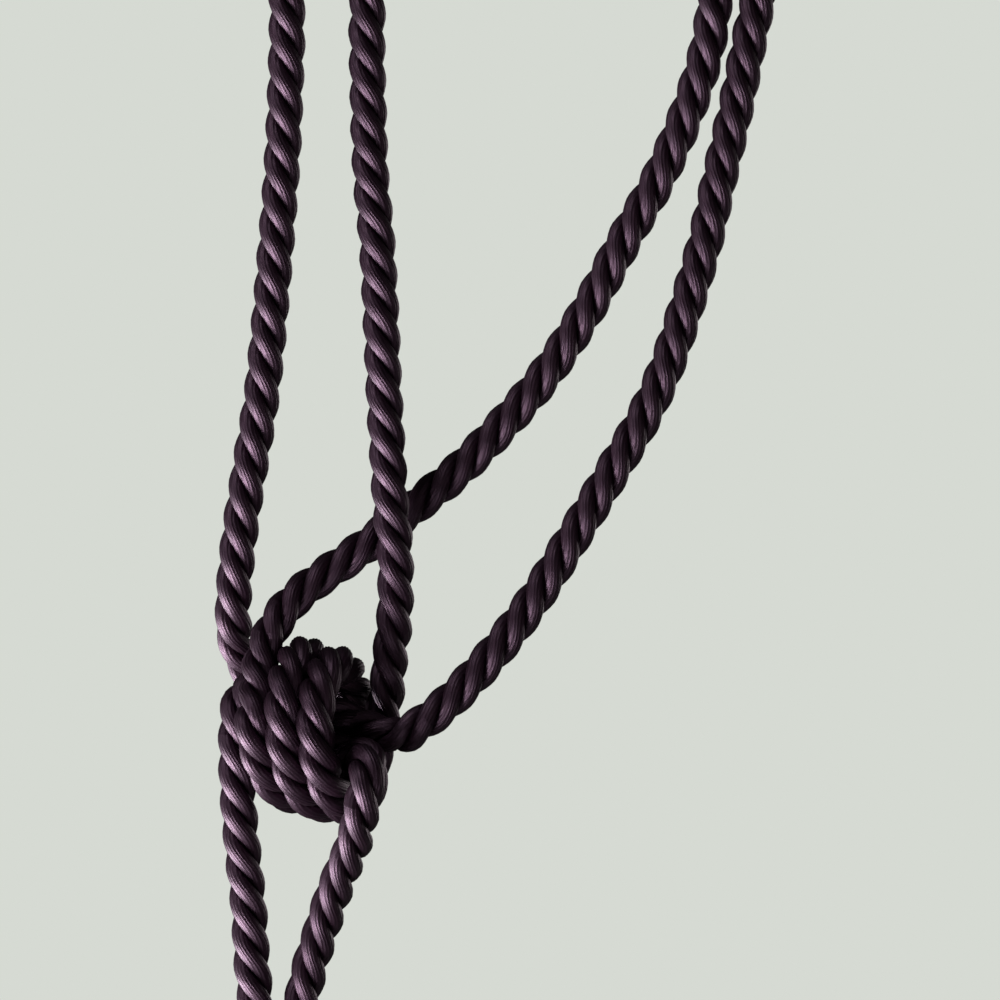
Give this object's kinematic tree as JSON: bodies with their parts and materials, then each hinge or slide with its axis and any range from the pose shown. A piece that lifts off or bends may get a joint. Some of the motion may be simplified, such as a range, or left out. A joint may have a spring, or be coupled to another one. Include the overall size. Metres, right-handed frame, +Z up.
{
  "type": "tasselled cord curtain tieback",
  "caption": "Twisted cord tieback: two long hook loops above a wound ball knot, and a tassel on two strands below it.",
  "frame": {"origin": "the hook's seat: the middle of the inner face at the top of the left loop's eye", "axes": "+Z up as the tieback hangs, +X right across the pictured front, +Y away from the room"},
  "size_m": [0.1567, 0.0475, 0.4311],
  "materials": {
    "twisted_cord": "satin",
    "tassel_yarn": "satin"
  },
  "bodies": {
    "root": {"left_loop": "twisted_cord", "right_loop": "twisted_cord", "knot": "twisted_cord", "core_back": "twisted_cord", "core_front": "twisted_cord", "lower_left": "twisted_cord", "lower_right": "twisted_cord", "tassel": "tassel_yarn"}
  },
  "joints": []
}
